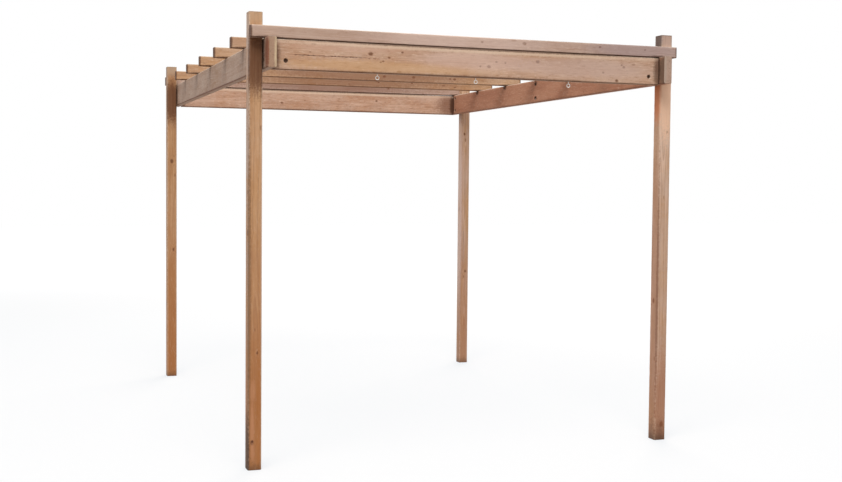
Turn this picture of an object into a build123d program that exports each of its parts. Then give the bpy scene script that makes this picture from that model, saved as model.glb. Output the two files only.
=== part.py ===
"""Freestanding timber pergola: four posts, two side beams, a front and a back beam, and a row of rafters.

Frame: millimetres, +X to the right, +Y to the back, +Z up.
The origin is on the floor, midway between the four posts.
"""

import os

from build123d import *

# Overall sizes
frame_width = 2400.0  # over the outer faces of the posts, left to right
frame_depth = 3000.0  # over the outer faces of the posts, front to back
passage_height = 2000.0  # from the floor to the underside of the side beams

# Posts
post_size = 70.0  # side of the square section
post_rise = 70.0  # of a post above the rafters
post_arris = 9.0  # rounding of the long edges

# Beams: the two side beams and the two cross beams are cut from one stock
beam_thickness = 45.0
beam_depth = 150.0
beam_arris = 6.0
side_beam_overhang = 110.0  # past the outer faces of the posts, front and back
cross_beam_drop = 4.0  # of the cross beams below the side beams, clear of the rafters

# Rafters, on edge across the side beams
rafter_count = 7
rafter_thickness = 45.0
rafter_depth = 60.0
rafter_arris = 5.0

# Flanged hexagon heads of the coach screws and the connector bolts, and the recesses they sit in
shank_diameter = 10.0
flange_diameter = 20.0
flange_thickness = 2.0
head_across_flats = 15.0
head_height = 6.0
recess_clearance = 2.0  # round the flange
recess_depth = 10.0
bore_clearance = 0.5  # round the shank, in the timber
tip_chamfer = 2.0

# Coach screws, two at each post, through the side beam into the post
screw_bite = 50.0  # length in the post
lower_screw_margin = 30.0  # above the underside of the side beam
upper_screw_margin = 25.0  # below its top

# Connectors, one at each end of a cross beam: a bolt into a barrel nut
connector_setback = 60.0  # from the beam's end to the middle of the nut
connector_rise = 45.0  # above the underside of the cross beam
barrel_diameter = 22.0
barrel_length = 22.0
barrel_clearance = 0.25  # round the nut, in the beam
thread_clearance = 0.25  # round the shank, in the nut
bolt_end_margin = 4.0  # of the bolt past the nut
slot_width = 3.0
slot_depth = 2.5

# Screw eyes, in a row along the underside of the front beam
eye_places = (-1 / 4, 0, 1 / 4)  # from the middle, as shares of the beam's length
eye_wire_diameter = 4.0
eye_diameter = 22.0  # over the ring
eye_neck = 9.0  # from the beam to the ring
eye_bite = 25.0  # in the beam
eye_clearance = 0.25  # round the shank, in the beam

# Levels
beam_top = passage_height + beam_depth
post_height = beam_top + rafter_depth + post_rise
cross_beam_underside = passage_height - cross_beam_drop
connector_z = cross_beam_underside + connector_rise
screw_levels = (passage_height + lower_screw_margin, beam_top - upper_screw_margin)

# Lines across the width and the depth
post_x = (frame_width - post_size) / 2
post_y = (frame_depth - post_size) / 2
side_beam_outer_x = post_x - post_size / 2
side_beam_inner_x = side_beam_outer_x - beam_thickness
side_beam_x = (side_beam_outer_x + side_beam_inner_x) / 2
side_beam_length = frame_depth + 2 * side_beam_overhang
cross_beam_length = 2 * side_beam_inner_x
cross_beam_y = (frame_depth + beam_thickness) / 2
end_rafter_y = (frame_depth + rafter_thickness) / 2
rafter_spacing = 2 * end_rafter_y / (rafter_count - 1)

# Bores
bore_radius = shank_diameter / 2 + bore_clearance
recess_radius = flange_diameter / 2 + recess_clearance
barrel_bore_radius = barrel_diameter / 2 + barrel_clearance
barrel_floor_y = cross_beam_y - barrel_length / 2  # inner end of the nut and of its bore
barrel_x = cross_beam_length / 2 - connector_setback
grip = beam_thickness - recess_depth  # of timber under a head
screw_length = grip + screw_bite
bolt_length = grip + connector_setback + barrel_diameter / 2 + bolt_end_margin

eye_seats = [(share * cross_beam_length, -cross_beam_y, cross_beam_underside) for share in eye_places]
eye_ring_radius = (eye_diameter - eye_wire_diameter) / 2  # to the middle of the wire
eye_ring_drop = eye_neck + eye_diameter / 2  # of the ring's middle below the beam

sides = {"left": -1, "right": 1}
ends = {"front": -1, "back": 1}
corners = {f"{e}_{s}": (sides[s], ends[e]) for e in ends for s in sides}


def screw_planes(side, x, y):
    """Planes on an upright pair of screw axes, this far out from the middle, facing inwards."""
    return [Plane(origin=(side * x, y, z), z_dir=(-side, 0, 0)) for z in screw_levels]


def connector_plane(side, end, x):
    """Plane on a connector bolt's axis, this far out from the middle, facing outwards."""
    return Plane(origin=(side * x, end * cross_beam_y, connector_z), z_dir=(side, 0, 0))


def barrel_plane(side, end, y):
    """Plane on a barrel nut's axis, this far out from the middle, facing the front or the back."""
    return Plane(origin=(side * barrel_x, end * y, connector_z), x_dir=(1, 0, 0), z_dir=(0, end, 0))


def save(part, name):
    """Label a finished piece and write it to its own file."""
    part.label = name
    export_step(part, f"parts/{name}.step")


os.makedirs("parts", exist_ok=True)

# Posts: square, with rounded long edges, and pilot bores for the coach screws in the inner face
for corner, (side, end) in corners.items():
    with BuildPart() as post:
        with BuildSketch(Plane.XY) as post_section:
            with Locations((side * post_x, end * post_y)):
                Rectangle(post_size, post_size)
            fillet(post_section.vertices(), post_arris)
        extrude(amount=post_height)
        with Locations(*screw_planes(side, side_beam_outer_x, end * post_y)):
            Hole(bore_radius, depth=screw_bite + bore_clearance)
    save(post.part, f"{corner}_post")

# Side beams: against the inner faces of the posts, running out past them at the front and the back
for side_name, side in sides.items():
    with BuildPart() as side_beam:
        with BuildSketch(Plane.XZ) as side_section:
            with Locations((side * side_beam_x, passage_height + beam_depth / 2)):
                Rectangle(beam_thickness, beam_depth)
            fillet(side_section.vertices(), beam_arris)
        extrude(amount=side_beam_length / 2, both=True)
        # Recessed bores for the coach screws at both posts, and a spare pair halfway along
        for y in (-post_y, 0, post_y):
            with Locations(*screw_planes(side, side_beam_inner_x, y)):
                CounterBoreHole(bore_radius, recess_radius, recess_depth)
        # Recessed bores for the connector bolts, in the outer face
        for end in ends.values():
            with Locations(connector_plane(side, end, side_beam_outer_x)):
                CounterBoreHole(bore_radius, recess_radius, recess_depth)
    save(side_beam.part, f"{side_name}_side_beam")

# Cross beams: between the side beams, in line with the outer faces of the posts
for end_name, end in ends.items():
    with BuildPart() as cross_beam:
        with BuildSketch(Plane.YZ) as cross_section:
            with Locations((end * cross_beam_y, cross_beam_underside + beam_depth / 2)):
                Rectangle(beam_thickness, beam_depth)
            fillet(cross_section.vertices(), beam_arris)
        extrude(amount=cross_beam_length / 2, both=True)
        for side in sides.values():
            # Bolt bore from the end of the beam to just past the nut
            with Locations(connector_plane(side, end, side_beam_inner_x)):
                Hole(bore_radius, depth=bolt_length - grip + bolt_end_margin)
            # Bore for the barrel nut, from the outer face
            with Locations(barrel_plane(side, end, cross_beam_y + beam_thickness / 2)):
                Hole(barrel_bore_radius, depth=(beam_thickness + barrel_length) / 2)
        if end_name == "front":
            with Locations(*[Plane(seat, z_dir=(0, 0, -1)) for seat in eye_seats]):
                Hole(eye_wire_diameter / 2 + eye_clearance, depth=eye_bite + eye_clearance)
    save(cross_beam.part, f"{end_name}_beam")

# Rafters: the first and the last stand against the outer faces of the posts
for index in range(rafter_count):
    with BuildPart() as rafter:
        with BuildSketch(Plane.YZ) as rafter_section:
            with Locations((index * rafter_spacing - end_rafter_y, beam_top + rafter_depth / 2)):
                Rectangle(rafter_thickness, rafter_depth)
            fillet(rafter_section.vertices(), rafter_arris)
        extrude(amount=frame_width / 2, both=True)
    save(rafter.part, f"rafter_{index + 1}")

# Coach screws: two at each post, with their flanges on the floors of the recesses
for corner, (side, end) in corners.items():
    seats = screw_planes(side, side_beam_inner_x + recess_depth, end * post_y)
    with BuildPart() as screws:
        with BuildSketch(*seats):
            RegularPolygon(head_across_flats / 2, 6, major_radius=False)
        extrude(amount=flange_thickness + head_height)
        with BuildSketch(*seats):
            Circle(flange_diameter / 2)
        extrude(amount=flange_thickness)
        with BuildSketch(*seats):
            Circle(shank_diameter / 2)
        extrude(amount=-screw_length)
        tips = screws.edges().filter_by(GeomType.CIRCLE).group_by(Axis.X)[-1 if side > 0 else 0]
        chamfer(tips, tip_chamfer)
    save(screws.part, f"{corner}_post_screws")

# Connectors: a bolt through the side beam into a slotted barrel nut in the cross beam
for corner, (side, end) in corners.items():
    bolt_seat = connector_plane(side, end, side_beam_outer_x - recess_depth)
    with BuildPart() as bolt:
        with BuildSketch(bolt_seat):
            RegularPolygon(head_across_flats / 2, 6, major_radius=False)
        extrude(amount=flange_thickness + head_height)
        with BuildSketch(bolt_seat):
            Circle(flange_diameter / 2)
        extrude(amount=flange_thickness)
        with BuildSketch(bolt_seat):
            Circle(shank_diameter / 2)
        extrude(amount=-bolt_length)
        chamfer(bolt.edges().filter_by(GeomType.CIRCLE).group_by(Axis.X)[0 if side > 0 else -1], tip_chamfer)
    save(bolt.part, f"{corner}_connector_bolt")

    with BuildPart() as nut:
        with BuildSketch(barrel_plane(side, end, barrel_floor_y)):
            Circle(barrel_diameter / 2)
        extrude(amount=barrel_length)
        with BuildSketch(barrel_plane(side, end, barrel_floor_y + barrel_length)):
            Rectangle(barrel_diameter, slot_width)
        extrude(amount=-slot_depth, mode=Mode.SUBTRACT)
        with Locations(connector_plane(side, end, barrel_x + barrel_diameter / 2)):
            Hole(shank_diameter / 2 + thread_clearance, depth=barrel_diameter)
    save(nut.part, f"{corner}_barrel_nut")

# Screw eyes: a ring that faces the front, on a straight shank screwed up into the front beam
with BuildPart() as eyes:
    with Locations(*[Location((x, y, z - eye_ring_drop), (90, 0, 0)) for x, y, z in eye_seats]):
        Torus(eye_ring_radius, eye_wire_diameter / 2)
    with BuildSketch(*[Plane((x, y, z + eye_bite), z_dir=(0, 0, -1)) for x, y, z in eye_seats]):
        Circle(eye_wire_diameter / 2)
    extrude(amount=eye_bite + eye_ring_drop - eye_ring_radius)
save(eyes.part, "front_beam_eyes")
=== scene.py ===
"""Looks of a freestanding timber pergola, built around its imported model."""

import math

import bpy
import numpy as np
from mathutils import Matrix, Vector


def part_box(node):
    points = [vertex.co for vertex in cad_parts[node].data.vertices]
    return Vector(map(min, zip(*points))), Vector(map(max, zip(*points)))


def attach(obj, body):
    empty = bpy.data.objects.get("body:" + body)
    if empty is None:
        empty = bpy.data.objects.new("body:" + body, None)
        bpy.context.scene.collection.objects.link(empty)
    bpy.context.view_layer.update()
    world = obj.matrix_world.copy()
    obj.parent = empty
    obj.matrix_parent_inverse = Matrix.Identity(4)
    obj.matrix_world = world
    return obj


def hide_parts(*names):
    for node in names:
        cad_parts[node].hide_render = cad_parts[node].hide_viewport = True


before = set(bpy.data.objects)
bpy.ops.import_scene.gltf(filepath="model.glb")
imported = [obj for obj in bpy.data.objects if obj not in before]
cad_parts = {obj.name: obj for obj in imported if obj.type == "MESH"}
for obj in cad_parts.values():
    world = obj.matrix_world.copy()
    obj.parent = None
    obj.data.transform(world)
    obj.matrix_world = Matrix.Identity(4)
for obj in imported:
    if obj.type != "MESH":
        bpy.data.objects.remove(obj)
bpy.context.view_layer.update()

# ---------------------------------------------------------------- camera
# A person with a camera a little below eye height, in front of the pergola and to its left.
# The camera looks slightly down and leans by half a degree, and its lens is shifted to the right and down.

camera_data = bpy.data.cameras.new("camera")
camera_data.sensor_width = 36
camera_data.lens = 49.04
camera_data.shift_x = 0.0238
camera_data.shift_y = -0.0083
camera = bpy.data.objects.new("camera", camera_data)
camera.location = (-2.356, -7.104, 1.440)
heading, pitch, roll = (math.radians(angle) for angle in (-19.22, -2.52, -0.49))
camera.rotation_euler = (math.pi / 2 + pitch, roll, heading)
scene = bpy.context.scene
scene.collection.objects.link(camera)
scene.camera = camera

# ---------------------------------------------------------------- studio
# A pale floor under an overcast sky, with a soft lamp high up in front and to the left.
# The sky reads as white to the camera. The floor glows just enough to read as white round its soft shadows.

scene.view_settings.view_transform = "Standard"


class Graph:
    """Adds nodes to one shader tree and wires them: a value is a number, a tuple or a socket."""

    def __init__(self, tree):
        self.tree = tree

    def add(self, kind, values=(), **settings):
        """A node of this kind, with its settings, and its inputs filled by name or by number."""
        made = self.tree.nodes.new("ShaderNode" + kind)
        for name, setting in settings.items():
            setattr(made, name, setting)
        for key, value in dict(values).items():
            self.fill(made.inputs[key], value)
        return made

    def fill(self, socket, value):
        """Links a socket to another one, or sets its value."""
        if isinstance(value, bpy.types.NodeSocket):
            self.tree.links.new(value, socket)
        else:
            socket.default_value = value

    def math(self, operation, *values):
        """The result of one Math node."""
        return self.add("Math", enumerate(values), operation=operation).outputs[0]

    def vector(self, operation, *values, out=0):
        """The result of one Vector Math node; out 1 is its number."""
        return self.add("VectorMath", enumerate(values), operation=operation).outputs[out]

    def step(self, value, low, high, to_low=0.0, to_high=1.0):
        """A smooth step of a value, from to_low at low to to_high at high."""
        places = {"Value": value, "From Min": low, "From Max": high, "To Min": to_low, "To Max": to_high}
        return self.add("MapRange", places, interpolation_type="SMOOTHSTEP").outputs[0]

    def mix(self, factor, a, b, blend="MIX"):
        """Two colours mixed."""
        return self.add("Mix", {0: factor, 6: a, 7: b}, data_type="RGBA", blend_type=blend).outputs[2]

    def over(self, colour, shade, mask, strength):
        """A colour with a shade laid over it where a mask is, by a strength."""
        return self.mix(self.math("MULTIPLY", mask, strength), colour, shade)

    def noise(self, vector, scale, detail=3.0, roughness=0.5):
        """The value of a Noise Texture."""
        places = {"Vector": vector, "Scale": scale, "Detail": detail, "Roughness": roughness}
        return self.add("TexNoise", places).outputs[0]

    def split(self, vector):
        """The three parts of a vector."""
        return self.add("SeparateXYZ", {0: vector}).outputs

    def join(self, x=0.0, y=0.0, z=0.0):
        """A vector from its three parts."""
        return self.add("CombineXYZ", {0: x, 1: y, 2: z}).outputs[0]


def empty_tree(owner):
    """The graph of a material or a world, with no nodes yet."""
    owner.use_nodes = True
    owner.node_tree.nodes.clear()
    return Graph(owner.node_tree)


def seen_directly(graph):
    """1 on a ray from the camera, a mirror or a glass, and 0 on the rays that light things."""
    paths = graph.add("LightPath").outputs
    mirrored = graph.math("MAXIMUM", paths["Is Glossy Ray"], paths["Is Transmission Ray"])
    return graph.math("MAXIMUM", paths["Is Camera Ray"], mirrored)


sky = bpy.data.worlds.new("overcast_sky")
scene.world = sky
g = empty_tree(sky)
height = g.split(g.add("TexCoord").outputs["Generated"])[2]
sky_colour = g.mix(g.step(height, -0.1, 0.9), (0.30, 0.29, 0.285, 1), (1.0, 1.0, 1.0, 1))
overcast = g.add("Background", {"Color": sky_colour, "Strength": 0.95})
white_card = g.add("Background", {"Color": (1, 1, 1, 1), "Strength": 1.0})
chosen = g.add("MixShader", {0: seen_directly(g), 1: overcast.outputs[0], 2: white_card.outputs[0]})
g.add("OutputWorld", {"Surface": chosen.outputs[0]})

half_floor = 30.0
floor_mesh = bpy.data.meshes.new("floor")
floor_corners = [(half_floor * x, half_floor * y, 0) for x, y in ((-1, -1), (1, -1), (1, 1), (-1, 1))]
floor_mesh.from_pydata(floor_corners, [], [(0, 1, 2, 3)])
floor = bpy.data.objects.new("floor", floor_mesh)
scene.collection.objects.link(floor)

floor_material = bpy.data.materials.new("pale_floor")
floor_mesh.materials.append(floor_material)
g = empty_tree(floor_material)
matte = g.add("BsdfDiffuse", {"Color": (0.30, 0.25, 0.21, 1)})
distance = g.vector("LENGTH", g.add("TexCoord").outputs["Object"], out=1)
far = g.step(distance, 4.0, 15.0)
lift_colour = g.mix(far, (0.875, 1.0, 1.105, 1), (0.949, 1.0, 1.049, 1))
lift_strength = g.math("MULTIPLY", seen_directly(g), g.step(far, 0.0, 1.0, 0.625, 0.80))
lift = g.add("Emission", {"Color": lift_colour, "Strength": lift_strength})
both = g.add("AddShader", {0: matte.outputs[0], 1: lift.outputs[0]})
g.add("OutputMaterial", {"Surface": both.outputs[0]})


def soft_lamp(name, place, target, size, watts, colour):
    """A square area lamp at a place, turned to face a target."""
    data = bpy.data.lights.new(name, "AREA")
    data.size = size
    data.energy = watts
    data.color = colour
    lamp = bpy.data.objects.new(name, data)
    lamp.location = place
    lamp.rotation_euler = (Vector(target) - Vector(place)).to_track_quat("-Z", "Y").to_euler()
    scene.collection.objects.link(lamp)


soft_lamp("high_lamp", (-2.4, -5.2, 10.0), (0, 0, 1.5), 6.0, 800, (1.0, 0.985, 0.96))
soft_lamp("back_lamp", (4.5, 7.5, 7.0), (0, 0, 1.2), 6.0, 560, (1.0, 0.985, 0.96))

# ---------------------------------------------------------------- posts
# Square softwood posts, planed on four sides with rounded long edges, sawn off square at both ends.
# They stand on the ground, so the wood turns warmer and darker towards the foot.

# The long faces of a timber in the order of its section's sides, by the axis of its length, and their ways.
FACES = {0: ("back", "top", "front", "bottom"), 1: ("right", "top", "left", "bottom"),
         2: ("right", "back", "left", "front")}
WAYS = {"right": (1, 0, 0), "left": (-1, 0, 0), "back": (0, 1, 0), "front": (0, -1, 0),
        "top": (0, 0, 1), "bottom": (0, 0, -1)}


def middle_of(node):
    """The middle of a node's box."""
    lo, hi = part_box(node)
    return (np.array(lo) + np.array(hi)) / 2


def wander(along, wavelength, rng):
    """A smooth random curve from 0 to 1: random heights a wavelength apart, joined by cosine eases."""
    steps = (along - along[0]) / wavelength
    before = steps.astype(int)
    ease = (1 - np.cos(np.pi * (steps - before))) / 2
    heights = rng.random(before[-1] + 2)
    return heights[before] * (1 - ease) + heights[before + 1] * ease


def rounded_section(width, depth, arris, cracks, faces, step=0.011):
    """Points round a rounded rectangle.

    Each side is a row of points across its flat, then a quarter circle round its arris. Every point has
    its place, its outward direction, its share of rounding (0 on a flat, 1 halfway round an arris) and
    the number of the crack that it is the bottom of, or -1. A crack has a lip of points on each side.
    """
    lip, clear = 0.0011, 0.006
    places, outward, rounding, owner = [], [], [], []
    for side in range(4):
        turn = side * np.pi / 2
        normal = np.array([np.cos(turn), np.sin(turn)])
        tangent = np.array([-np.sin(turn), np.cos(turn)])
        reach, breadth = (width / 2, depth / 2) if side % 2 == 0 else (depth / 2, width / 2)
        flat = breadth - arris
        across = np.linspace(-flat, flat, int(np.ceil(2 * flat / step)) + 1)
        number = np.full(len(across), -1)
        for index, crack in enumerate(cracks):
            if crack["face"] == faces[side]:
                middle = crack["across"] * tangent.sum()
                keep = np.abs(across - middle) > clear
                lips = middle + np.array([-clear, -lip, 0, lip, clear])
                across = np.concatenate([across[keep], lips])
                number = np.concatenate([number[keep], [-1, -1, index, -1, -1]])
                order = np.argsort(across)
                across, number = across[order], number[order]
        bend = turn + np.linspace(0, np.pi / 2, 7)[1:-1]
        round_normal = np.stack([np.cos(bend), np.sin(bend)], 1)
        places += [normal * reach + np.outer(across, tangent),
                   normal * (reach - arris) + tangent * flat + round_normal * arris]
        outward += [np.tile(normal, (len(across), 1)), round_normal]
        rounding += [np.zeros(len(across)), np.sin(2 * (bend - turn))]
        owner += [number, np.full(len(bend), -1)]
    return [np.concatenate(part) for part in (places, outward, rounding, owner)]


sharp_angle = math.radians(38)  # between two faces that meet in a hard edge


def tube_faces(rings, around):
    """The faces of a tube of rings, in three arrays: its quads and the fans that close its two ends.

    The points come ring by ring, each with as many as go around, and then the first and the last end's tip.
    """
    row, column = np.meshgrid(np.arange(rings - 1), np.arange(around), indexing="ij")
    beside = (column + 1) % around
    quads = np.stack([row * around + column, row * around + beside,
                      (row + 1) * around + beside, (row + 1) * around + column], -1).reshape(-1, 4)
    spokes = np.arange(around)
    nexts = (spokes + 1) % around
    last = (rings - 1) * around
    tip = rings * around
    return [quads, np.stack([np.full(around, tip), nexts, spokes], 1),
            np.stack([np.full(around, tip + 1), last + spokes, last + nexts], 1)]


def copies(faces, points, count):
    """The faces of several copies of a shape, as lists, from those of one with so many points."""
    return [[corner + number * points for corner in face]
            for number in range(count) for part in faces for face in part.tolist()]


def timber(name, lo, hi, axis, arris, seed, cracks=(), sag=0.0, supports=1.0):
    """A planed timber that fills the box from lo to hi, with its length along an axis (0, 1 or 2).

    The surface is the rounded section carried along the length. At each station the section is pressed in,
    never out: by a smooth random wear that is strongest on the arrises, by a slight hollow across each
    flat, by a V-shaped groove at each drying crack, and by an easing over the last two millimetres.
    Sag lowers it by a parabola that is nought from the supports, a share of the half length, outwards.
    The ends are closed by rings that shrink to a point. The share of rounding is kept as an attribute.
    """
    rub_depth, dent_depth, hollow_depth, end_depth = 0.0011, 0.0012, 0.0005, 0.0008
    end_stations, first_station, station_step = np.array([0, 0.0006, 0.002, 0.006]), 0.012, 0.014
    cap_shares = (0.28, 0.55, 0.82)
    rng = np.random.default_rng(seed)
    lo, hi = np.array(lo), np.array(hi)
    cross = [i for i in range(3) if i != axis]
    length = hi[axis] - lo[axis]
    width, depth = (hi - lo)[cross]
    place, outward, rounding, owner = rounded_section(width, depth, arris, cracks, FACES[axis])
    around = len(place)
    middle = np.linspace(first_station, length - first_station, int(length / station_step))
    along = np.concatenate([end_stations, middle, length - end_stations[::-1]])

    press = np.zeros((len(along), around))
    for corner in range(4):
        angle = (corner + 0.5) * np.pi / 2
        nearness = np.clip(outward @ np.array([np.cos(angle), np.sin(angle)]), 0, 1) ** 8 * (rounding > 0)
        rub = wander(along, 0.11, rng) * wander(along, 0.021, rng) ** 2
        dent = np.clip(wander(along, 0.034, rng) - 0.9, 0, 1) * 10 * wander(along, 0.4, rng)
        press += np.outer(rub_depth * rub + dent_depth * dent, nearness)
    off_middle = np.abs(place / (np.array([width, depth]) / 2)).min(axis=1)
    press += hollow_depth * np.outer(wander(along, 0.6, rng), (1 - off_middle ** 2) * (rounding == 0))
    end_distance = np.minimum(along, length - along)
    press += end_depth * np.clip(1 - end_distance / end_stations[2], 0, 1)[:, None] ** 2

    drift = np.zeros((len(along), around))
    opening = np.zeros((len(along), around))
    for index, crack in enumerate(cracks):
        column = np.flatnonzero(owner == index)[0]
        depth_here = np.zeros(len(along))
        for start, stop in crack["spans"]:
            run = np.clip((along - start) / (stop - start), 0, 1)
            depth_here += np.sin(np.pi * run) ** 0.6 * (0.45 + 0.55 * wander(along, 0.06, rng))
        press[:, column] += crack["depth"] * depth_here
        opening[:, column] = depth_here
        path = 0.004 * (wander(along, 0.25, rng) - 0.5) + 0.0012 * (wander(along, 0.05, rng) - 0.5)
        drift[:, column - 1:column + 2] += path[:, None]

    tangent = np.stack([-outward[:, 1], outward[:, 0]], 1)
    rings = place - outward * press[..., None] + tangent * drift[..., None]
    points = np.empty((len(along), around, 3))
    points[..., axis] = lo[axis] + along[:, None]
    points[..., cross[0]] = (lo + hi)[cross[0]] / 2 + rings[..., 0]
    points[..., cross[1]] = (lo + hi)[cross[1]] / 2 + rings[..., 1]
    from_middle = (2 * along / length - 1) / supports
    points[..., 2] -= sag * np.clip(1 - from_middle ** 2, 0, 1)[:, None]

    ends = points[[0, -1]]
    centres = ends.mean(axis=1)
    caps = [centres[end] + (ends[end] - centres[end]) * share for end in (0, 1) for share in cap_shares]
    rows = np.concatenate([caps[:len(cap_shares)], points, caps[:len(cap_shares) - 1:-1]])
    vertices = np.concatenate([rows.reshape(-1, 3), centres])
    faces = tube_faces(len(rows), around)
    if axis == 1:
        faces = [part[:, ::-1] for part in faces]
    mesh = bpy.data.meshes.new(name)
    mesh.from_pydata(vertices.tolist(), [], copies(faces, len(vertices), 1))
    on_caps = np.zeros((len(cap_shares), around))
    kept = {"arris": np.tile(rounding, (len(along), 1)), "crack": opening, "bore": np.zeros_like(opening)}
    for label, values in kept.items():
        spread = np.concatenate([on_caps, values, on_caps]).ravel()
        mesh.attributes.new(label, "FLOAT", "POINT").data.foreach_set("value", np.append(spread, (0.0, 0.0)))
    mesh.shade_smooth()
    mesh.set_sharp_from_angle(angle=sharp_angle)
    piece = bpy.data.objects.new(name, mesh)
    scene.collection.objects.link(piece)
    return piece


def group(name, vectors, numbers, results):
    """A new shader node group that takes named vectors and numbers, and gives out named numbers.

    Returns its graph, its inputs, and a function that wires up its results.
    """
    tree = bpy.data.node_groups.new(name, "ShaderNodeTree")
    for labels, way, kind in ((vectors, "INPUT", "Vector"), (numbers, "INPUT", "Float"),
                              (results, "OUTPUT", "Float")):
        for label in labels:
            tree.interface.new_socket(label, in_out=way, socket_type="NodeSocket" + kind)
    made = Graph(tree)
    given = tree.nodes.new("NodeGroupInput").outputs
    sockets = tree.nodes.new("NodeGroupOutput").inputs

    def close(values):
        for label, value in values.items():
            made.fill(sockets[label], value)

    return made, given, close


# A knot: a branch that starts at the heart of the tree and widens on its way out.
# Inside it the wood is dark, with a darker rim, and round it the rings bend out of the way.
g, given, close = group("knot", ["Place", "Heart", "Way"], ["Reach", "Size"], ["Knot", "Rim", "Bend"])
offset = g.vector("SUBTRACT", given["Place"], given["Heart"])
out_along = g.vector("DOT_PRODUCT", offset, given["Way"], out=1)
on_axis = g.add("VectorMath", {0: given["Way"], 3: out_along}, operation="SCALE").outputs[0]
from_axis = g.vector("MULTIPLY", g.vector("SUBTRACT", offset, on_axis), (0.7, 1, 1))
ragged = g.math("SUBTRACT", g.noise(given["Place"], 160.0, 2.0), 0.5)
distance = g.math("ADD", g.vector("LENGTH", from_axis, out=1), g.math("MULTIPLY", ragged, 0.004))
widening = g.step(g.math("DIVIDE", out_along, given["Reach"]), 0.0, 1.0, 0.3, 1.0)
spread = g.math("MULTIPLY", given["Size"], widening)
ratio = g.math("DIVIDE", distance, spread)
ahead = g.math("GREATER_THAN", out_along, 0.0)
inside = g.math("MULTIPLY", ahead, g.step(ratio, 1.1, 0.8))
rim = g.math("MULTIPLY", g.step(ratio, 1.8, 1.05), g.step(ratio, 0.6, 0.95))
bend = g.math("MULTIPLY", ahead, g.step(ratio, 5.0, 0.9))
close({"Knot": inside, "Rim": g.math("MULTIPLY", ahead, rim), "Bend": bend})

# Softwood: rings round the heart, early wood pale and late wood darker, all drawn out along the length.
# Place is in metres from the middle of the timber, with X along the grain. Fibre is the finest streak,
# Fleck is the short dark and pale dashes that planing leaves, and Tone is the slow change of colour.
g, given, close = group("softwood", ["Place", "Heart"], ["Ring", "Bend", "Seed"],
                        ["Late", "Fibre", "Fleck", "Tone", "Pore", "Speck"])
seeded = g.vector("ADD", given["Place"], g.join(given["Seed"], given["Seed"]))
slow = g.vector("MULTIPLY", seeded, (0.8, 7.0, 7.0))
lean = g.add("TexNoise", {"Vector": slow, "Scale": 1.0, "Detail": 2.0}).outputs["Color"]
leaning = g.vector("MULTIPLY", g.vector("SUBTRACT", lean, (0.5, 0.5, 0.5)), (0, 0.03, 0.03))
flat = g.vector("SUBTRACT", g.vector("ADD", given["Place"], leaning), given["Heart"])
radius = g.vector("LENGTH", g.vector("MULTIPLY", flat, (0, 1, 1)), out=1)
radius = g.math("ADD", radius, g.math("MULTIPLY", given["Bend"], 0.006))
uneven = g.noise(g.join(g.math("MULTIPLY", radius, 90.0), given["Seed"]), 1.0, 1.0)
years = g.math("ADD", g.math("DIVIDE", radius, given["Ring"]), g.math("MULTIPLY", uneven, 2.4))
year = g.math("FRACT", years)
late = g.math("MULTIPLY", g.step(year, 0.3, 0.92), g.step(year, 1.0, 0.95))
fibre = g.noise(g.vector("MULTIPLY", seeded, (7.0, 380.0, 380.0)), 1.0, 5.0, 0.6)
fleck = g.noise(g.vector("MULTIPLY", seeded, (26.0, 125.0, 125.0)), 1.0, 4.0, 0.75)
tone = g.noise(g.vector("MULTIPLY", seeded, (2.2, 13.0, 13.0)), 1.0, 5.0, 0.65)
pore = g.step(g.noise(g.vector("MULTIPLY", seeded, (45.0, 900.0, 900.0)), 1.0, 2.0), 0.60, 0.72)
cells = g.add("TexVoronoi", {"Vector": g.vector("MULTIPLY", seeded, (11.0, 26.0, 26.0)), "Scale": 1.0})
luck = g.split(cells.outputs["Color"])[0]
speck_size = g.math("MULTIPLY", g.math("POWER", luck, 3.0), 0.2)
speck = g.math("MULTIPLY", g.step(g.math("DIVIDE", cells.outputs["Distance"], speck_size), 1.2, 0.5),
               g.math("GREATER_THAN", luck, 0.4))
close({"Late": late, "Fibre": fibre, "Fleck": fleck, "Tone": tone, "Pore": pore, "Speck": speck})

# Weather: rain and sun turn the faces that look up grey, and a thin silver film lies on the others.
# Near the ground the wood is warm and dark with damp, and splashed earth sticks to the foot.
g, given, close = group("weather", ["Spot"], ["Up", "Foot", "Seed"],
                        ["Grey", "Silver", "Damp", "Soil", "Mottle"])
seeded = g.vector("ADD", given["Spot"], g.join(given["Seed"]))
blotch = g.noise(seeded, 4.0, 5.0, 0.65)
mottle = g.noise(seeded, 70.0, 4.0, 0.75)
grey = g.math("MULTIPLY", g.step(given["Up"], 0.3, 0.8), g.step(blotch, 0.2, 0.5, 0.6, 1.0))
silver_and_sheen = g.step(g.math("ADD", g.math("MULTIPLY", blotch, 0.6), g.math("MULTIPLY", mottle, 0.4)), 0.38, 0.60)
rise = g.split(given["Spot"])[2]
damp_edge = g.math("SUBTRACT", rise, g.math("MULTIPLY", g.math("SUBTRACT", blotch, 0.5), 0.8))
damp = g.math("MULTIPLY", given["Foot"], g.step(damp_edge, 1.5, 0.1))
soil_edge = g.math("SUBTRACT", rise, g.math("MULTIPLY", g.math("SUBTRACT", mottle, 0.5), 0.07))
soil = g.step(soil_edge, 0.05, 0.0)
close({"Grey": grey, "Silver": silver_and_sheen, "Damp": damp, "Soil": soil, "Mottle": mottle})

# Soft patch: a patch with a ragged edge, round or drawn out. It lays stains where water stood or dirt
# gathered, and also painted shade, painted shadow and painted highlights.
g, given, close = group("soft_patch", ["Spot", "Middle", "Reach"], ["Ragged"], ["Patch"])
away = g.vector("DIVIDE", g.vector("SUBTRACT", given["Spot"], given["Middle"]), given["Reach"])
torn = g.math("MULTIPLY", g.math("SUBTRACT", given["Ragged"], 0.5), 0.9)
close({"Patch": g.step(g.math("ADD", g.vector("LENGTH", away, out=1), torn), 1.15, 0.45)})

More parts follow.
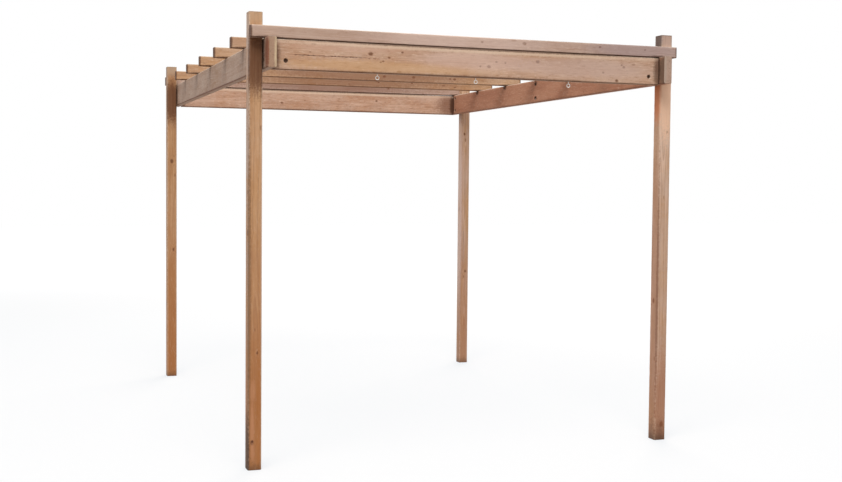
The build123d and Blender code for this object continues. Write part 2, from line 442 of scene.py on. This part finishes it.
# End grain: short cracks that run out from the heart, as the sawn ends dry faster than the rest.
g, given, close = group("end_cracks", ["Place", "Heart"], ["Seed"], ["Crack"])
_, side, rise = g.split(g.vector("SUBTRACT", given["Place"], given["Heart"]))
turned = g.math("MULTIPLY", g.math("ARCTAN2", rise, side), 3.5)
radius = g.math("POWER", g.math("ADD", g.math("POWER", side, 2.0), g.math("POWER", rise, 2.0)), 0.5)
ray = g.noise(g.join(turned, g.math("MULTIPLY", radius, 30.0), given["Seed"]), 2.0, 1.0)
line = g.step(g.math("ABSOLUTE", g.math("SUBTRACT", ray, 0.5)), 0.022, 0.006)
broken = g.noise(g.vector("MULTIPLY", given["Place"], (0.0, 70.0, 70.0)), 1.0, 2.0)
close({"Crack": g.math("MULTIPLY", line, g.step(broken, 0.42, 0.55))})


def put_group(graph, name, **values):
    """A node group placed in a material with its own values: its outputs."""
    made = graph.add("Group", node_tree=bpy.data.node_groups[name])
    for label, value in values.items():
        graph.fill(made.inputs[label.capitalize()], value)
    return made.outputs


def srgb(red, green, blue):
    """A linear colour from the 0 to 255 values that it should show as."""
    share = np.array([red, green, blue]) / 255
    linear = np.where(share <= 0.04045, share / 12.92, ((share + 0.055) / 1.055) ** 2.4)
    return (*(float(c) for c in linear), 1.0)


tan_wood = srgb(206, 164, 124)
honey_wood = srgb(190, 142, 98)
pink_wood = srgb(216, 184, 164)
late_wood = srgb(150, 104, 74)
knot_wood = srgb(92, 60, 42)
knot_rim = srgb(134, 88, 58)
silver_wood = srgb(204, 186, 176)
grey_wood = srgb(176, 166, 152)
worn_and_lit_wood = srgb(232, 208, 184)
damp_wood = srgb(177, 112, 61)
# This brown lays real stains, and also painted shade and painted shadow.
stain_and_shade_brown = srgb(82, 48, 28)
soil_brown = srgb(70, 52, 40)
crack_and_shade_brown = srgb(58, 38, 27)


def timber_material(name, node, axis, heart, seed, pale=tan_wood, warm=honey_wood, knots=(), silver_and_sheen=(),
                    stains_and_painted_light=(), foot=0.0, end_colour=grey_wood, end_cover=0.7, ring=0.0042, underside_shade=0.55,
                    fleck=1.0):
    """Planed softwood for one timber, with its grain along the timber's own length.

    heart is where the tree's heart lies in the section, in metres from the timber's middle.
    A knot is (place along the length, face, place across it, radius), in metres from the middle.
    silver gives how much pale film each named face has: weathered silver, and painted sheen. Each of the
    stains is (middle, reach, colour, strength): a real stain, or painted shade, shadow or highlight.
    fleck is how plainly the short dashes show.
    """
    lo, hi = (np.array(corner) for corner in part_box(node))
    cross = [i for i in range(3) if i != axis]
    material = bpy.data.materials.new(name)
    g = empty_tree(material)
    coordinates = g.add("TexCoord").outputs
    spot = coordinates["Object"]
    parts = g.split(g.vector("SUBTRACT", spot, tuple((lo + hi) / 2)))
    place = g.join(parts[axis], parts[cross[0]], parts[cross[1]])
    facing = g.split(coordinates["Normal"])

    knot, rim, bend = 0.0, 0.0, 0.0
    for along, face, across, size in knots:
        side = FACES[axis].index(face)
        reach = (hi - lo)[cross[side % 2]] / 2 * (1 if side < 2 else -1)
        out = math.copysign(max(abs(reach - heart[side % 2]), 0.02), reach)
        aside = (across - heart[1 - side % 2]) * 0.25
        mark, way = (along, reach, across), Vector((abs(out) * 0.2, out, aside))
        if side % 2:
            mark, way = (along, across, reach), Vector((abs(out) * 0.2, aside, out))
        made = put_group(g, "knot", place=place, heart=tuple(Vector(mark) - way), way=tuple(way.normalized()),
                         reach=way.length, size=size)
        knot = g.math("MAXIMUM", knot, made["Knot"])
        rim = g.math("MAXIMUM", rim, made["Rim"])
        bend = g.math("MAXIMUM", bend, made["Bend"])
    wood = put_group(g, "softwood", place=place, heart=(0, *heart), ring=ring, bend=bend, seed=seed * 3.7)
    weather = put_group(g, "weather", spot=spot, up=facing[2], foot=foot, seed=seed * 1.3)
    cracks = put_group(g, "end_cracks", place=place, heart=(0, *heart), seed=seed * 0.7)
    at_end = g.step(g.math("ABSOLUTE", facing[axis]), 0.6, 0.85)
    arris = g.add("Attribute", attribute_name="arris").outputs["Fac"]
    crack = g.add("Attribute", attribute_name="crack").outputs["Fac"]
    bore = g.add("Attribute", attribute_name="bore").outputs["Fac"]

    # The pale film on the named faces is weathered silver and painted sheen.
    film_and_sheen = 0.0
    for face, amount in dict(silver_and_sheen).items():
        toward = g.vector("DOT_PRODUCT", coordinates["Normal"], WAYS[face], out=1)
        film_and_sheen = g.math("ADD", film_and_sheen, g.math("MULTIPLY", g.step(toward, 0.3, 0.8), amount))

    colour = g.mix(g.step(wood["Tone"], 0.36, 0.64), pale, warm)
    colour = g.over(colour, late_wood, wood["Late"], 0.4)
    colour = g.over(colour, late_wood, g.step(wood["Fibre"], 0.45, 0.75), 0.3)
    colour = g.over(colour, silver_wood, weather["Silver"], film_and_sheen)
    colour = g.over(colour, damp_wood, weather["Damp"], 0.75)
    colour = g.over(colour, late_wood, g.step(wood["Fleck"], 0.52, 0.72), 0.42 * fleck)
    colour = g.over(colour, worn_and_lit_wood, g.step(wood["Fleck"], 0.46, 0.28), 0.40 * fleck)
    colour = g.over(colour, knot_rim, g.math("MAXIMUM", rim, wood["Speck"]), 0.65)
    colour = g.over(colour, g.mix(wood["Fibre"], knot_wood, knot_rim), knot, 0.9)
    # The arrises are paler where they look up: wear, and a painted highlight from the light above.
    worn_and_lit = g.math("MULTIPLY", arris, g.step(weather["Mottle"], 0.3, 0.6, 0.2, 0.65))
    colour = g.over(colour, worn_and_lit_wood, worn_and_lit, g.step(facing[2], -0.4, 0.2))
    colour = g.over(colour, grey_wood, weather["Grey"], 0.7)
    end_shade = g.over(end_colour, late_wood, wood["Late"], 0.35)
    end_shade = g.over(end_shade, crack_and_shade_brown, cracks["Crack"], 0.75)
    colour = g.over(colour, end_shade, at_end, end_cover)
    for middle, reach, shade, strength in stains_and_painted_light:
        made = put_group(g, "soft_patch", spot=spot, middle=middle, reach=reach, ragged=weather["Mottle"])
        colour = g.over(colour, shade, made["Patch"], strength)
    # The arrises that look down are painted dark brown: painted shade.
    shaded_underside = g.math("MULTIPLY", arris, g.step(facing[2], 0.0, -0.5))
    colour = g.over(colour, stain_and_shade_brown, shaded_underside, underside_shade)
    # The walls of the drying cracks and the bores are painted dark brown: painted shade in the hollows.
    hollow_shade = g.math("MAXIMUM", g.step(crack, 0.05, 0.5), g.step(bore, 0.3, 0.9))
    colour = g.over(colour, crack_and_shade_brown, hollow_shade, 0.9)
    if foot:
        colour = g.over(colour, soil_brown, weather["Soil"], 0.5)

    split = g.math("MULTIPLY", at_end, cracks["Crack"])
    relief = g.math("MULTIPLY", wood["Late"], 0.35)
    for height, share in ((wood["Fibre"], 0.5), (wood["Fleck"], 0.5), (wood["Pore"], -0.25), (split, -2.0),
                          (knot, 0.3)):
        relief = g.math("ADD", relief, g.math("MULTIPLY", height, share))
    bump = g.add("Bump", {"Height": relief, "Strength": 0.5, "Distance": 0.0012})
    roughness = g.math("ADD", 0.55, g.math("MULTIPLY", wood["Fibre"], 0.25))
    shader = g.add("BsdfPrincipled", {"Base Color": colour, "Roughness": roughness, "Specular IOR Level": 0.3,
                                      "Normal": bump.outputs[0]})
    g.add("OutputMaterial", {"Surface": shader.outputs[0]})
    return material


def fit(piece, node, material):
    """Gives a piece its material, and lets it stand for a timber of the frame."""
    piece.data.materials.append(material)
    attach(piece, "root")
    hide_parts(node)


post_arris = 0.009
rafter_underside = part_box("rafter_1")[0][2]
left_x, front_y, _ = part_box("front_left_post")[0]
right_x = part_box("front_right_post")[0][0]
back_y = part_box("back_left_post")[0][1]
post_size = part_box("front_left_post")[1][0] - left_x
half_post = post_size / 2
posts = {
    "front_left_post": {
        "heart": (0.006, 0.014), "pale": srgb(212, 169, 128), "warm": srgb(198, 149, 103),
        "silver_and_sheen": {"left": 0.8, "front": 0.1}, "foot": 1.0,
        "knots": [(-1.0, "front", -0.014, 0.007), (0.05, "left", -0.016, 0.009), (0.25, "left", -0.02, 0.007),
                  (-0.55, "front", 0.012, 0.004), (0.55, "right", 0.0, 0.010)],
        "stains_and_painted_light": [((left_x, front_y, 0.9), (0.016, 0.015, 1.15), srgb(122, 88, 58), 0.75),
                   # The pale line down the front right arris is a painted highlight.
                   ((left_x + post_size, front_y, 1.3), (0.008, 0.010, 0.85), srgb(240, 208, 186), 0.6),
                   ((left_x, front_y + 0.03, 0.05), (0.012, 0.06, 0.28), srgb(62, 50, 46), 0.8),
                   ((left_x + 0.025, front_y, 0.40), (0.016, 0.01, 0.06), srgb(208, 150, 114), 0.45),
                   ((left_x + 0.022, front_y, 0.22), (0.011, 0.01, 0.14), srgb(212, 152, 116), 0.5),
                   ((left_x + 0.024, front_y, 0.09), (0.012, 0.01, 0.05), srgb(208, 150, 114), 0.45),
                   ((left_x + 0.022, front_y, 0.145), (0.007, 0.01, 0.009), srgb(84, 44, 22), 0.9),
                   ((left_x + 0.055, front_y, 0.25), (0.016, 0.01, 0.40), srgb(180, 112, 52), 0.35)],
        "cracks": [{"face": "left", "across": -0.021, "spans": [(0.05, 0.75), (0.8, 1.5)], "depth": 0.003}]},
    "front_right_post": {
        "heart": (-0.008, 0.018), "pale": srgb(232, 200, 178), "warm": srgb(214, 176, 144),
        "silver_and_sheen": {"front": 0.35}, "foot": 0.35,
        "knots": [(-0.35, "left", 0.0, 0.008), (0.6, "front", 0.01, 0.005), (-1.05, "front", 0.008, 0.009),
                  (0.2, "back", 0.0, 0.010)],
        "stains_and_painted_light": [((right_x, front_y + half_post, 0.8), (0.012, 0.06, 1.1), srgb(164, 110, 84), 0.45),
                   # The orange patch high on the left face is partly the wood's own colour and partly painted
                   # light against the shade under the side beam.
                   ((right_x, front_y + half_post, 1.95), (0.012, 0.06, 0.18), srgb(228, 144, 102), 0.8),
                   ((right_x, front_y, 0.85), (0.011, 0.011, 0.95), srgb(132, 92, 72), 0.75),
                   ((right_x + 0.04, front_y, 0.15), (0.05, 0.02, 0.45), srgb(164, 102, 70), 0.55),
                   # The pale patch at the top of the front face is painted light against the shade under the
                   # side beam's end.
                   ((right_x + 0.04, front_y, 1.96), (0.06, 0.02, 0.32), srgb(252, 210, 180), 0.85),
                   ((right_x, front_y + half_post, 2.26), (0.012, 0.06, 0.10), srgb(92, 80, 78), 0.9),
                   ((right_x + half_post, front_y, 2.25), (0.05, 0.01, 0.05), srgb(170, 148, 142), 0.6),
                   ((right_x + half_post, front_y + half_post, 0.0), (0.06, 0.06, 0.15), srgb(92, 60, 44),
                    0.65)],
        "cracks": [{"face": "left", "across": -0.022, "spans": [(0.0, 0.36), (0.5, 0.9)], "depth": 0.004}]},
    "back_left_post": {
        "heart": (0.012, -0.008), "silver_and_sheen": {"left": 0.4}, "foot": 1.0,
        "knots": [(0.45, "front", -0.002, 0.009), (-0.2, "front", 0.01, 0.006), (-0.6, "left", 0.0, 0.010)],
        "stains_and_painted_light": [((left_x + half_post, back_y + half_post, 2.27), (0.06, 0.06, 0.09), srgb(160, 138, 124),
                    0.85)],
        "cracks": [{"face": "left", "across": 0.008, "spans": [(0.9, 1.9)], "depth": 0.003}]},
    "back_right_post": {
        "heart": (0.0, 0.016), "pale": pink_wood, "warm": tan_wood, "silver_and_sheen": {"left": 1.0, "front": 0.2},
        "foot": 0.7,
        "knots": [(0.1, "left", 0.0, 0.010), (-0.4, "front", 0.008, 0.006), (0.7, "front", -0.01, 0.006)],
        "stains_and_painted_light": [((right_x, back_y, 1.1), (0.012, 0.011, 1.2), srgb(158, 108, 88), 0.6),
                   # The pale left face is painted sheen.
                   ((right_x, back_y + half_post, 1.2), (0.012, 0.06, 0.9), srgb(236, 212, 202), 0.6)],
        "cracks": [{"face": "front", "across": -0.01, "spans": [(0.75, 1.15)], "depth": 0.004}]},
}
for number, (node, look) in enumerate(posts.items()):
    lo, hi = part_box(node)
    x, y, _ = middle_of(node)
    look["stains_and_painted_light"] += [((x, y, hi[2]), (0.09, 0.09, 0.007), stain_and_shade_brown, 0.6)]
    # On the left posts the front face just below the rafters is painted dark brown: a painted shadow. The
    # stub above the rafters is painted paler.
    if "left" in node:
        look["stains_and_painted_light"] += [((x, lo[1], hi[2]), (0.09, 0.03, 0.07), srgb(196, 168, 138), 0.45),
                           ((x, lo[1], rafter_underside - 0.12), (0.09, 0.03, 0.19), srgb(84, 42, 18), 0.8)]
    seed = 11 + number
    piece = timber(node + "_timber", lo, hi, 2, post_arris, seed, look.pop("cracks"))
    fit(piece, node, timber_material(node + "_wood", node, 2, seed=seed, fleck=0.55, **look))

# ---------------------------------------------------------------- side beams
# Two planed planks on edge, one against the inner faces of each pair of posts, past them at both ends.
# A pair of coach screws in round recesses fixes a beam to each post, and it is bored for a middle post.


def drill(piece, centres, way, steps):
    """Cuts like round holes into a piece, at centres on one of its faces, towards a way.

    A hole is a profile turned round its line: for each step, a radius and how deep it goes, a wall at that
    radius. The mouth is a millimetre wider. The cut faces get 1 in the bore attribute.
    """
    flare, proud, turns = 0.001, 0.004, 32
    profile = [(0, -proud), (steps[0][0] + flare, -proud), (steps[0][0] + flare, 0), (steps[0][0], flare)]
    for number, (radius, depth) in enumerate(steps):
        profile.append((radius, depth))
        profile.append((steps[number + 1][0] if number + 1 < len(steps) else 0, depth))
    radii, depths = np.array(profile).T
    angle = np.arange(turns) * 2 * np.pi / turns
    way = np.array(way, float)
    sideways = np.roll(way, 1)
    upwards = np.cross(way, sideways)
    circle = np.outer(np.cos(angle), sideways) + np.outer(np.sin(angle), upwards)
    turned = radii[1:-1, None, None] * circle + depths[1:-1, None, None] * way
    tips = np.array([depths[0] * way, depths[-1] * way])
    one = np.concatenate([turned.reshape(-1, 3), tips])
    vertices = np.concatenate([one + np.array(centre) for centre in centres])
    mesh = bpy.data.meshes.new("cutter")
    mesh.from_pydata(vertices.tolist(), [], copies(tube_faces(len(turned), turns), len(one), len(centres)))
    mesh.attributes.new("bore", "FLOAT", "POINT").data.foreach_set("value", np.ones(len(vertices)))
    cutter = bpy.data.objects.new("cutter", mesh)
    scene.collection.objects.link(cutter)
    cut = piece.modifiers.new("cut", "BOOLEAN")
    cut.operation = "DIFFERENCE"
    cut.object = cutter
    whole = piece.data
    piece.data = bpy.data.meshes.new_from_object(piece.evaluated_get(bpy.context.evaluated_depsgraph_get()))
    piece.modifiers.clear()
    piece.data.name = whole.name
    bpy.data.meshes.remove(whole)
    bpy.data.objects.remove(cutter)
    bpy.data.meshes.remove(mesh)
    piece.data.set_sharp_from_angle(angle=sharp_angle)


beam_arris = 0.006
screw_recess = (0.012, 0.010)  # radius and depth
screw_bore = (0.0055, 0.060)
flange_radius = 0.010  # of the screws' heads, which stand in line with their boxes' ends
corners = ["front_left", "front_right", "back_left", "back_right"]
rafters = [f"rafter_{number}" for number in range(1, 8)]

side_beams = {
    "left_side_beam": {
        "heart": (0.03, -0.02), "pale": srgb(190, 166, 148), "warm": srgb(168, 138, 116),
        "silver_and_sheen": {"left": 0.3, "front": 0.3}, "end_colour": srgb(172, 138, 112)},
    "right_side_beam": {
        "heart": (-0.03, 0.01), "pale": srgb(196, 144, 118), "warm": srgb(174, 120, 96),
        "silver_and_sheen": {"front": 0.4}, "end_colour": srgb(188, 166, 150)},
}
for number, (node, look) in enumerate(side_beams.items()):
    lo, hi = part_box(node)
    _, y, z = middle_of(node)
    side = node.split("_")[0]
    inward = 1 if side == "left" else -1
    inner, outer = (hi[0], lo[0]) if side == "left" else (lo[0], hi[0])
    # The pale strip on the inner edge of the sawn end is a painted highlight.
    edge_highlight = srgb(240, 214, 176) if side == "left" else srgb(206, 184, 168)
    low_screw, high_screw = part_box(f"front_{side}_post_screws")
    screw_heights = [low_screw[2] + flange_radius, high_screw[2] - flange_radius]
    crossings = [middle_of(rafter)[1] for rafter in rafters]
    # The dark spots where each rafter crosses the inner top edge are painted shadow.
    look["stains_and_painted_light"] = [((inner, crossing, hi[2] - 0.008), (0.03, 0.034, 0.024), stain_and_shade_brown, 0.95)
                      for crossing in crossings if abs(crossing - y) > flange_radius]
    look["stains_and_painted_light"] += [((outer, crossing + 0.01, hi[2] - 0.03), (0.015, 0.03, 0.10), stain_and_shade_brown, 0.25)
                       for crossing in crossings]
    post_places = [middle_of(f"{end}_{side}_post")[1] for end in ("front", "back")]
    # Beside each post the outer face is painted dark: painted shade in the groove along the post.
    look["stains_and_painted_light"] += [((outer, place, z), (0.015, 0.085, 0.16), crack_and_shade_brown, 0.95) for place in post_places]
    # A dark ring is painted round each empty screw hole: painted shade.
    look["stains_and_painted_light"] += [((inner, y, height), (0.012, 0.024, 0.014), crack_and_shade_brown, 0.9)
                       for height in screw_heights]
    # Painted shade at the joint with the back beam, on the inner face where it runs past the front beam, and
    # at the front beam's end.
    look["stains_and_painted_light"] += [((inner, middle_of("back_beam")[1] - 0.018, hi[2] - 0.08), (0.012, 0.022, 0.12),
                        crack_and_shade_brown, 0.9),
                       ((inner, lo[1], hi[2] - 0.08), (0.012, 0.095, 0.12), srgb(104, 86, 72), 0.9),
                       ((inner, lo[1] + 0.060, hi[2] - 0.08), (0.012, 0.016, 0.12), crack_and_shade_brown, 0.8),
                       ((inner, lo[1], hi[2] - 0.075), (0.014, 0.006, 0.12), edge_highlight, 0.7)]
    if side == "left":
        # On the left beam the outer face just in front of the post and the bottom edge are painted darker:
        # painted shade.
        look["stains_and_painted_light"] += [((outer, lo[1] + 0.02, hi[2] - 0.075), (0.010, 0.055, 0.11),
                            srgb(124, 66, 38), 0.88),
                           ((outer, y, lo[2]), (0.02, 1.7, 0.009), srgb(142, 94, 70), 0.65)]
    seed = 21 + number
    piece = timber(node + "_timber", lo, hi, 1, beam_arris, seed)
    screw_places = [middle_of(f"{end}_{side}_post_screws")[1] for end in ("front", "back")] + [y]
    screws = [(inner, place, height) for place in screw_places for height in screw_heights]
    drill(piece, screws, (-inward, 0, 0), [screw_recess, screw_bore])
    bolts = [(outer, *middle_of(f"{end}_{side}_connector_bolt")[1:]) for end in ("front", "back")]
    drill(piece, bolts, (inward, 0, 0), [screw_recess, screw_bore])
    fit(piece, node, timber_material(node + "_wood", node, 1, seed=seed, **look))

# ---------------------------------------------------------------- cross beams
# Two planed planks on edge between the side beams, at the front and the back, a little below the rafters.
# A bolt through the side beam pulls each end tight against it, into a barrel nut in a round hole.

barrel_radius = 0.01125


def face_knots(node, face, places):
    """Knots on one face of a timber along X, from (share of its length, share of its depth, radius).

    Both shares are counted from the middle of the face.
    """
    lo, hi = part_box(node)
    length, depth = hi[0] - lo[0], hi[2] - lo[2]
    return [(length * along, face, depth * up, radius) for along, up, radius in places]


front_lo, front_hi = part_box("front_beam")
front_face, front_z = front_lo[1], middle_of("front_beam")[2]
back_lo, back_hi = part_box("back_beam")
back_corner = (back_hi[0], back_lo[1], middle_of("back_beam")[2])
big_knots = [(-0.27, 0.15, 0.007), (0.03, -0.1, 0.006), (0.16, 0.15, 0.006), (0.38, -0.4, 0.005),
             (0.4, 0.1, 0.005)]
rng = np.random.default_rng(17)
small_knots = rng.uniform((-0.25, -0.2, 0.003), (0.45, 0.25, 0.004), (9, 3)).tolist()
cross_beams = {
    "front_beam": {
        "heart": (-0.016, 0.0), "pale": srgb(218, 184, 160), "warm": srgb(200, 158, 128),
        "silver_and_sheen": {"front": 0.2}, "knots": face_knots("front_beam", "front", big_knots + small_knots),
        "cracks": [{"face": "front", "across": 0.001, "depth": 0.002, "spans": [(0.11, 0.25), (0.28, 0.46)]}],
        "stains_and_painted_light": [((-0.7, front_face, front_z + 0.049), (0.4, 0.01, 0.025), srgb(212, 172, 152), 0.4),
                   ((-0.5, front_face, front_z - 0.041), (0.7, 0.01, 0.035), srgb(208, 164, 116), 0.5),
                   ((0.0, front_face, front_z + 0.009), (0.4, 0.01, 0.06), srgb(220, 190, 178), 0.45),
                   ((0.6, front_face, front_z), (0.5, 0.01, 0.06), srgb(202, 176, 166), 0.5)]},
    "back_beam": {
        "heart": (0.01, -0.02), "pale": srgb(212, 174, 150), "warm": srgb(192, 146, 116),
        "silver_and_sheen": {"front": 0.3}, "cracks": [],
        "knots": face_knots("back_beam", "front", [(-0.15, -0.15, 0.005), (0.2, 0.1, 0.005)]),
        # Painted shade at the back beam's right end, by its joint with the side beam.
        "stains_and_painted_light": [(back_corner, (0.16, 0.02, 0.12), srgb(120, 78, 56), 0.7),
                   (back_corner, (0.035, 0.02, 0.12), crack_and_shade_brown, 0.8)]},
}

# The heart of the tree shows as a row of short dark dashes that fades out along the front beam's left half.
rng = np.random.default_rng(7)
front_length = front_hi[0] - front_lo[0]
streak_start, streak_fades, streak_end = (front_length * share for share in (-0.45, -0.3, -0.25))
for x in np.linspace(streak_start, streak_end, 26) + rng.uniform(-0.007, 0.007, 26):
    reach = (rng.uniform(0.006, 0.013), 0.01, rng.uniform(0.0018, 0.0036))
    strength = rng.uniform(0.5, 0.85) if x < streak_fades else rng.uniform(0.3, 0.6)
    spot = (x, front_face, front_z + rng.uniform(-0.003, 0.003))
    cross_beams["front_beam"]["stains_and_painted_light"].append((spot, reach, srgb(104, 66, 46), strength))

for number, (node, look) in enumerate(cross_beams.items()):
    lo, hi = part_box(node)
    end = node.split("_")[0]
    x, _, z = middle_of(node)
    # Painted shade at the ends by the side beams and along the bottom edge, and a painted shadow along the
    # top edge under the rafter. The pale line just below the top edge is a painted highlight.
    look["stains_and_painted_light"] += [((tip, lo[1], z), (0.035, 0.03, 0.12), stain_and_shade_brown, 0.7) for tip in (lo[0], hi[0])]
    look["stains_and_painted_light"] += [((x, lo[1], lo[2]), (1.3, 0.03, 0.011), stain_and_shade_brown, 0.5),
                       ((x, lo[1], hi[2] - 0.012), (1.3, 0.01, 0.014), worn_and_lit_wood, 0.6),
                       ((x, lo[1], hi[2]), (1.3, 0.02, 0.011), stain_and_shade_brown, 0.8)]
    seed = 31 + number
    piece = timber(node + "_timber", lo, hi, 0, beam_arris, seed, look.pop("cracks"))
    outer, into = (lo[1], 1) if end == "front" else (hi[1], -1)
    nuts = [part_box(f"{end}_{side}_barrel_nut") for side in ("left", "right")]
    far_end = max(abs(corner[1] - outer) for nut in nuts for corner in nut)
    holes = [((low[0] + high[0]) / 2, outer, (low[2] + high[2]) / 2) for low, high in nuts]
    drill(piece, holes, (0, into, 0), [(barrel_radius, far_end)])
    fit(piece, node, timber_material(node + "_wood", node, 0, seed=seed, fleck=1.5, **look))

# ---------------------------------------------------------------- rafters
# Seven small planed timbers laid across the side beams, the first and last over the cross beams.
# Their tops are grey and rough from rain, and their sawn ends are dark.

rafter_arris = 0.005
rafter_tones = [(srgb(204, 178, 164), srgb(188, 158, 142)), (srgb(212, 176, 140), srgb(194, 150, 108)),
                (srgb(206, 166, 126), srgb(186, 140, 98))]
for number, node in enumerate(rafters):
    lo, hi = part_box(node)
    z = middle_of(node)[2]
    pale, warm = rafter_tones[0 if number in (0, 6) else 1 + number % 2]
    seed = 41 + number
    marks = np.random.default_rng(seed).uniform((-1.1, -0.012, 0.003), (1.1, 0.012, 0.007), (4, 3))
    knots = [(along, "front", across, size) for along, across, size in marks.tolist()]
    # Each rafter's underside is painted dark where it lies on a side beam: painted shade.
    bearing = [((x, lo[1], lo[2]), (0.09, 0.04, 0.012), stain_and_shade_brown, 0.7)
               for x in (middle_of("left_side_beam")[0], middle_of("right_side_beam")[0])]
    ends = [((x, lo[1], z), (0.009, 0.05, 0.05), stain_and_shade_brown, 0.8) for x in (lo[0], hi[0])]
    if number == 0:
        patches_and_shade = [((-0.1, lo[1], z), (0.6, 0.02, 0.05), srgb(226, 200, 188), 0.4),
                ((-1.0, lo[1], z), (0.4, 0.02, 0.05), srgb(186, 156, 136), 0.4),
                ((0.6, lo[1], hi[2]), (0.7, 0.012, 0.006), srgb(128, 112, 106), 0.6),
                ((0.95, lo[1], z), (0.36, 0.02, 0.05), srgb(164, 146, 150), 0.5)]
    else:
        # The middle of the other rafters is painted reddish brown: painted shade, and some weathering.
        patches_and_shade = [((0.06, lo[1] + 0.02, z), (1.05, 0.06, 0.05), srgb(126, 80, 58), 0.6)]
    piece = timber(node + "_timber", lo, hi, 0, rafter_arris, seed, sag=0.0025, supports=0.92)
    fit(piece, node, timber_material(node + "_wood", node, 0, (-0.01, -0.015), seed, pale=pale, warm=warm,
                                     knots=knots, silver_and_sheen={"front": 0.25}, stains_and_painted_light=patches_and_shade + bearing + ends,
                                     end_colour=srgb(104, 74, 52), end_cover=0.85, underside_shade=0.8))

# ---------------------------------------------------------------- rafter screws
# Countersunk wood screws, two through each rafter into each side beam, with a cross recess in the head.
# They were zinc plated, and are dull and a little rusty now.

head_turns, head_rings = 24, 9
head_radius, shank_radius = 0.0042, 0.0021
head_height, shank_length = 0.0035, 0.03
cross_width, cross_radius, cross_depth = 0.0008, 0.0027, 0.0016


def screw_head(middle):
    """A countersunk head: a disc on polar rings, sunk where its angle and radius lie in a cross, then a
    cone that narrows to the shank, which ends in the wood."""
    angle = np.arange(head_turns) * 2 * np.pi / head_turns
    radius = np.linspace(0.12, 1, head_rings)[:, None] * head_radius
    x, y = radius * np.cos(angle), radius * np.sin(angle)
    arm = np.clip(1 - np.minimum(np.abs(x), np.abs(y)) / cross_width, 0, 1) * (radius < cross_radius)
    top = np.stack([x, y, -cross_depth * np.clip(arm * 2, 0, 1)], -1)
    cone = np.stack([np.cos(angle) * shank_radius, np.sin(angle) * shank_radius,
                     np.full(head_turns, -head_height)], -1)
    foot = cone + (0, 0, -shank_length)
    rows = np.concatenate([top, cone[None], foot[None]])
    tips = np.array([[0, 0, top[0, :, 2].min()], [0, 0, foot[0, 2]]])
    return np.concatenate([rows.reshape(-1, 3), tips]) + np.array(middle)


# The rings run downwards, so the faces are turned round to point outwards.
head_faces = [np.roll(part[:, ::-1], 1, axis=1) for part in tube_faces(head_rings + 2, head_turns)]
screw_aside, screw_sunk = 0.009, 0.0008
head_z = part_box("rafter_1")[1][2] - screw_sunk
heads = []
for rafter in rafters:
    for beam, slant in (("left_side_beam", 1), ("right_side_beam", -1)):
        x, y = middle_of(beam)[0], middle_of(rafter)[1]
        for aside in (-screw_aside, screw_aside):
            heads.append(screw_head((x + aside, y + aside * slant, head_z)))
mesh = bpy.data.meshes.new("rafter_screws")
mesh.from_pydata(np.concatenate(heads).tolist(), [], copies(head_faces, len(heads[0]), len(heads)))
mesh.shade_smooth()
mesh.set_sharp_from_angle(angle=math.radians(35))
rafter_screws = bpy.data.objects.new("rafter_screws", mesh)
scene.collection.objects.link(rafter_screws)
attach(rafter_screws, "root")

# Zinc: a dull grey skin of frosty patches, which turns brown where it has worn through.
g, given, close = group("zinc", ["Place"], ["Rust"], ["Frost", "Rust", "Relief"])
frost = g.add("TexVoronoi", {"Vector": given["Place"], "Scale": 420.0})
patch = g.noise(given["Place"], 160.0, 5.0, 0.7)
close({"Frost": g.split(frost.outputs["Color"])[0], "Relief": patch,
       "Rust": g.step(g.math("ADD", patch, given["Rust"]), 0.95, 1.15)})


def zinc_material(name, bright, dull, rust):
    """Zinc plated steel, from how light its frosty patches are and how much of it has rusted."""
    material = bpy.data.materials.new(name)
    g = empty_tree(material)
    place = g.add("TexCoord").outputs["Object"]
    skin = put_group(g, "zinc", place=place, rust=rust)
    colour = g.mix(skin["Frost"], dull, bright)
    colour = g.mix(skin["Rust"], colour, g.mix(skin["Relief"], srgb(70, 40, 26), srgb(140, 84, 48)))
    metallic = g.step(skin["Rust"], 0.0, 0.6, 0.9, 0.0)
    roughness = g.step(skin["Rust"], 0.0, 0.6, 0.42, 0.85)
    bump = g.add("Bump", {"Height": skin["Relief"], "Strength": 0.4, "Distance": 0.0004})
    shader = g.add("BsdfPrincipled", {"Base Color": colour, "Metallic": metallic, "Roughness": roughness,
                                      "Normal": bump.outputs[0]})
    g.add("OutputMaterial", {"Surface": shader.outputs[0]})
    return material


mesh.materials.append(zinc_material("weathered_zinc", srgb(150, 146, 140), srgb(112, 108, 104), 0.45))

# ---------------------------------------------------------------- coach screws, bolts and barrel nuts
# The screws and bolts sit in their recesses, so rain stands round them and they rust more than the rest, and
# their zinc is painted darker: painted shade in the recesses.
# The barrel nuts lie deep in their holes, with a slot for turning them in line with the bolt.

sunk_steel = zinc_material("sunk_steel", srgb(96, 84, 74), srgb(66, 56, 50), 0.52)
sunk_nodes = [f"{corner}_{fixing}" for corner in corners
              for fixing in ("post_screws", "connector_bolt", "barrel_nut")]
for node in sunk_nodes:
    for material_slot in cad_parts[node].material_slots:
        material_slot.material = sunk_steel

# ---------------------------------------------------------------- screw eyes
# Three screw eyes of bright zinc plated steel under the front beam, for a line or a climbing plant.
# Each is a ring bent from wire, on a shank that is screwed into the wood.

bright_zinc = zinc_material("bright_zinc", srgb(236, 232, 226), srgb(206, 202, 198), 0.30)
for material_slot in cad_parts["front_beam_eyes"].material_slots:
    material_slot.material = bright_zinc
